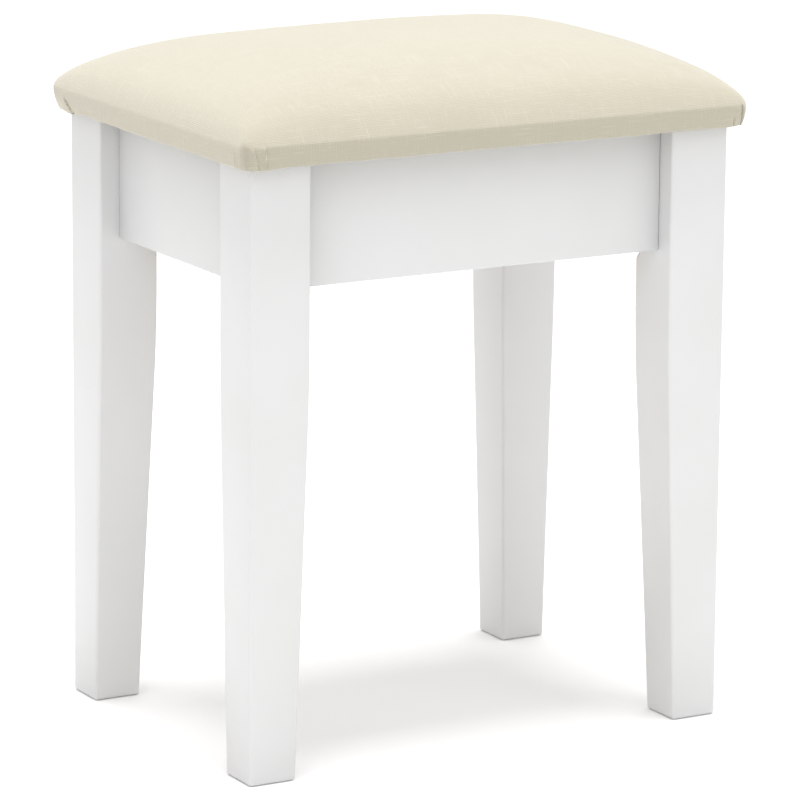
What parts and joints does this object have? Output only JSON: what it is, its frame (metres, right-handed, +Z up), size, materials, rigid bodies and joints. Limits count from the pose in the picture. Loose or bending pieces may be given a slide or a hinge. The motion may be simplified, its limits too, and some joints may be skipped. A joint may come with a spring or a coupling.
{
  "type": "padded dressing stool",
  "caption": "Rectangular padded stool with a crowned fabric seat on a painted wooden frame with tapered square legs.",
  "frame": {"origin": "on the floor, under the middle of the seat", "axes": "+X along the long side, to the right of someone facing the front; the front faces -Y; +Z up"},
  "size_m": [0.366, 0.27, 0.45],
  "materials": {
    "white_paint": "satin white paint",
    "block_wood": "raw hardwood",
    "dowel_wood": "raw beech",
    "plywood": "raw plywood",
    "zinc_steel": "zinc plated",
    "foam": "open-cell foam",
    "seat_fabric": "plain-weave linen look"
  },
  "bodies": {
    "root": {"leg_front_left": "white_paint", "corner_block_front_left": "block_wood", "hanger_bolt_front_left": "zinc_steel", "washer_front_left": "zinc_steel", "nut_front_left": "zinc_steel", "seat_screw_front_left": "zinc_steel", "block_screw_front_left_first": "zinc_steel", "dowel_front_left_first_lower": "dowel_wood", "dowel_front_left_first_upper": "dowel_wood", "block_screw_front_left_second": "zinc_steel", "dowel_front_left_second_lower": "dowel_wood", "dowel_front_left_second_upper": "dowel_wood", "leg_front_right": "white_paint", "corner_block_front_right": "block_wood", "hanger_bolt_front_right": "zinc_steel", "washer_front_right": "zinc_steel", "nut_front_right": "zinc_steel", "seat_screw_front_right": "zinc_steel", "block_screw_front_right_first": "zinc_steel", "dowel_front_right_first_lower": "dowel_wood", "dowel_front_right_first_upper": "dowel_wood", "block_screw_front_right_second": "zinc_steel", "dowel_front_right_second_lower": "dowel_wood", "dowel_front_right_second_upper": "dowel_wood", "leg_back_right": "white_paint", "corner_block_back_right": "block_wood", "hanger_bolt_back_right": "zinc_steel", "washer_back_right": "zinc_steel", "nut_back_right": "zinc_steel", "seat_screw_back_right": "zinc_steel", "block_screw_back_right_first": "zinc_steel", "dowel_back_right_first_lower": "dowel_wood", "dowel_back_right_first_upper": "dowel_wood", "block_screw_back_right_second": "zinc_steel", "dowel_back_right_second_lower": "dowel_wood", "dowel_back_right_second_upper": "dowel_wood", "leg_back_left": "white_paint", "corner_block_back_left": "block_wood", "hanger_bolt_back_left": "zinc_steel", "washer_back_left": "zinc_steel", "nut_back_left": "zinc_steel", "seat_screw_back_left": "zinc_steel", "block_screw_back_left_first": "zinc_steel", "dowel_back_left_first_lower": "dowel_wood", "dowel_back_left_first_upper": "dowel_wood", "block_screw_back_left_second": "zinc_steel", "dowel_back_left_second_lower": "dowel_wood", "dowel_back_left_second_upper": "dowel_wood", "apron_front": "white_paint", "apron_right": "white_paint", "apron_back": "white_paint", "apron_left": "white_paint", "seat_board": "plywood", "foam_pad": "foam", "fabric_cover": "seat_fabric"}
  },
  "joints": []
}
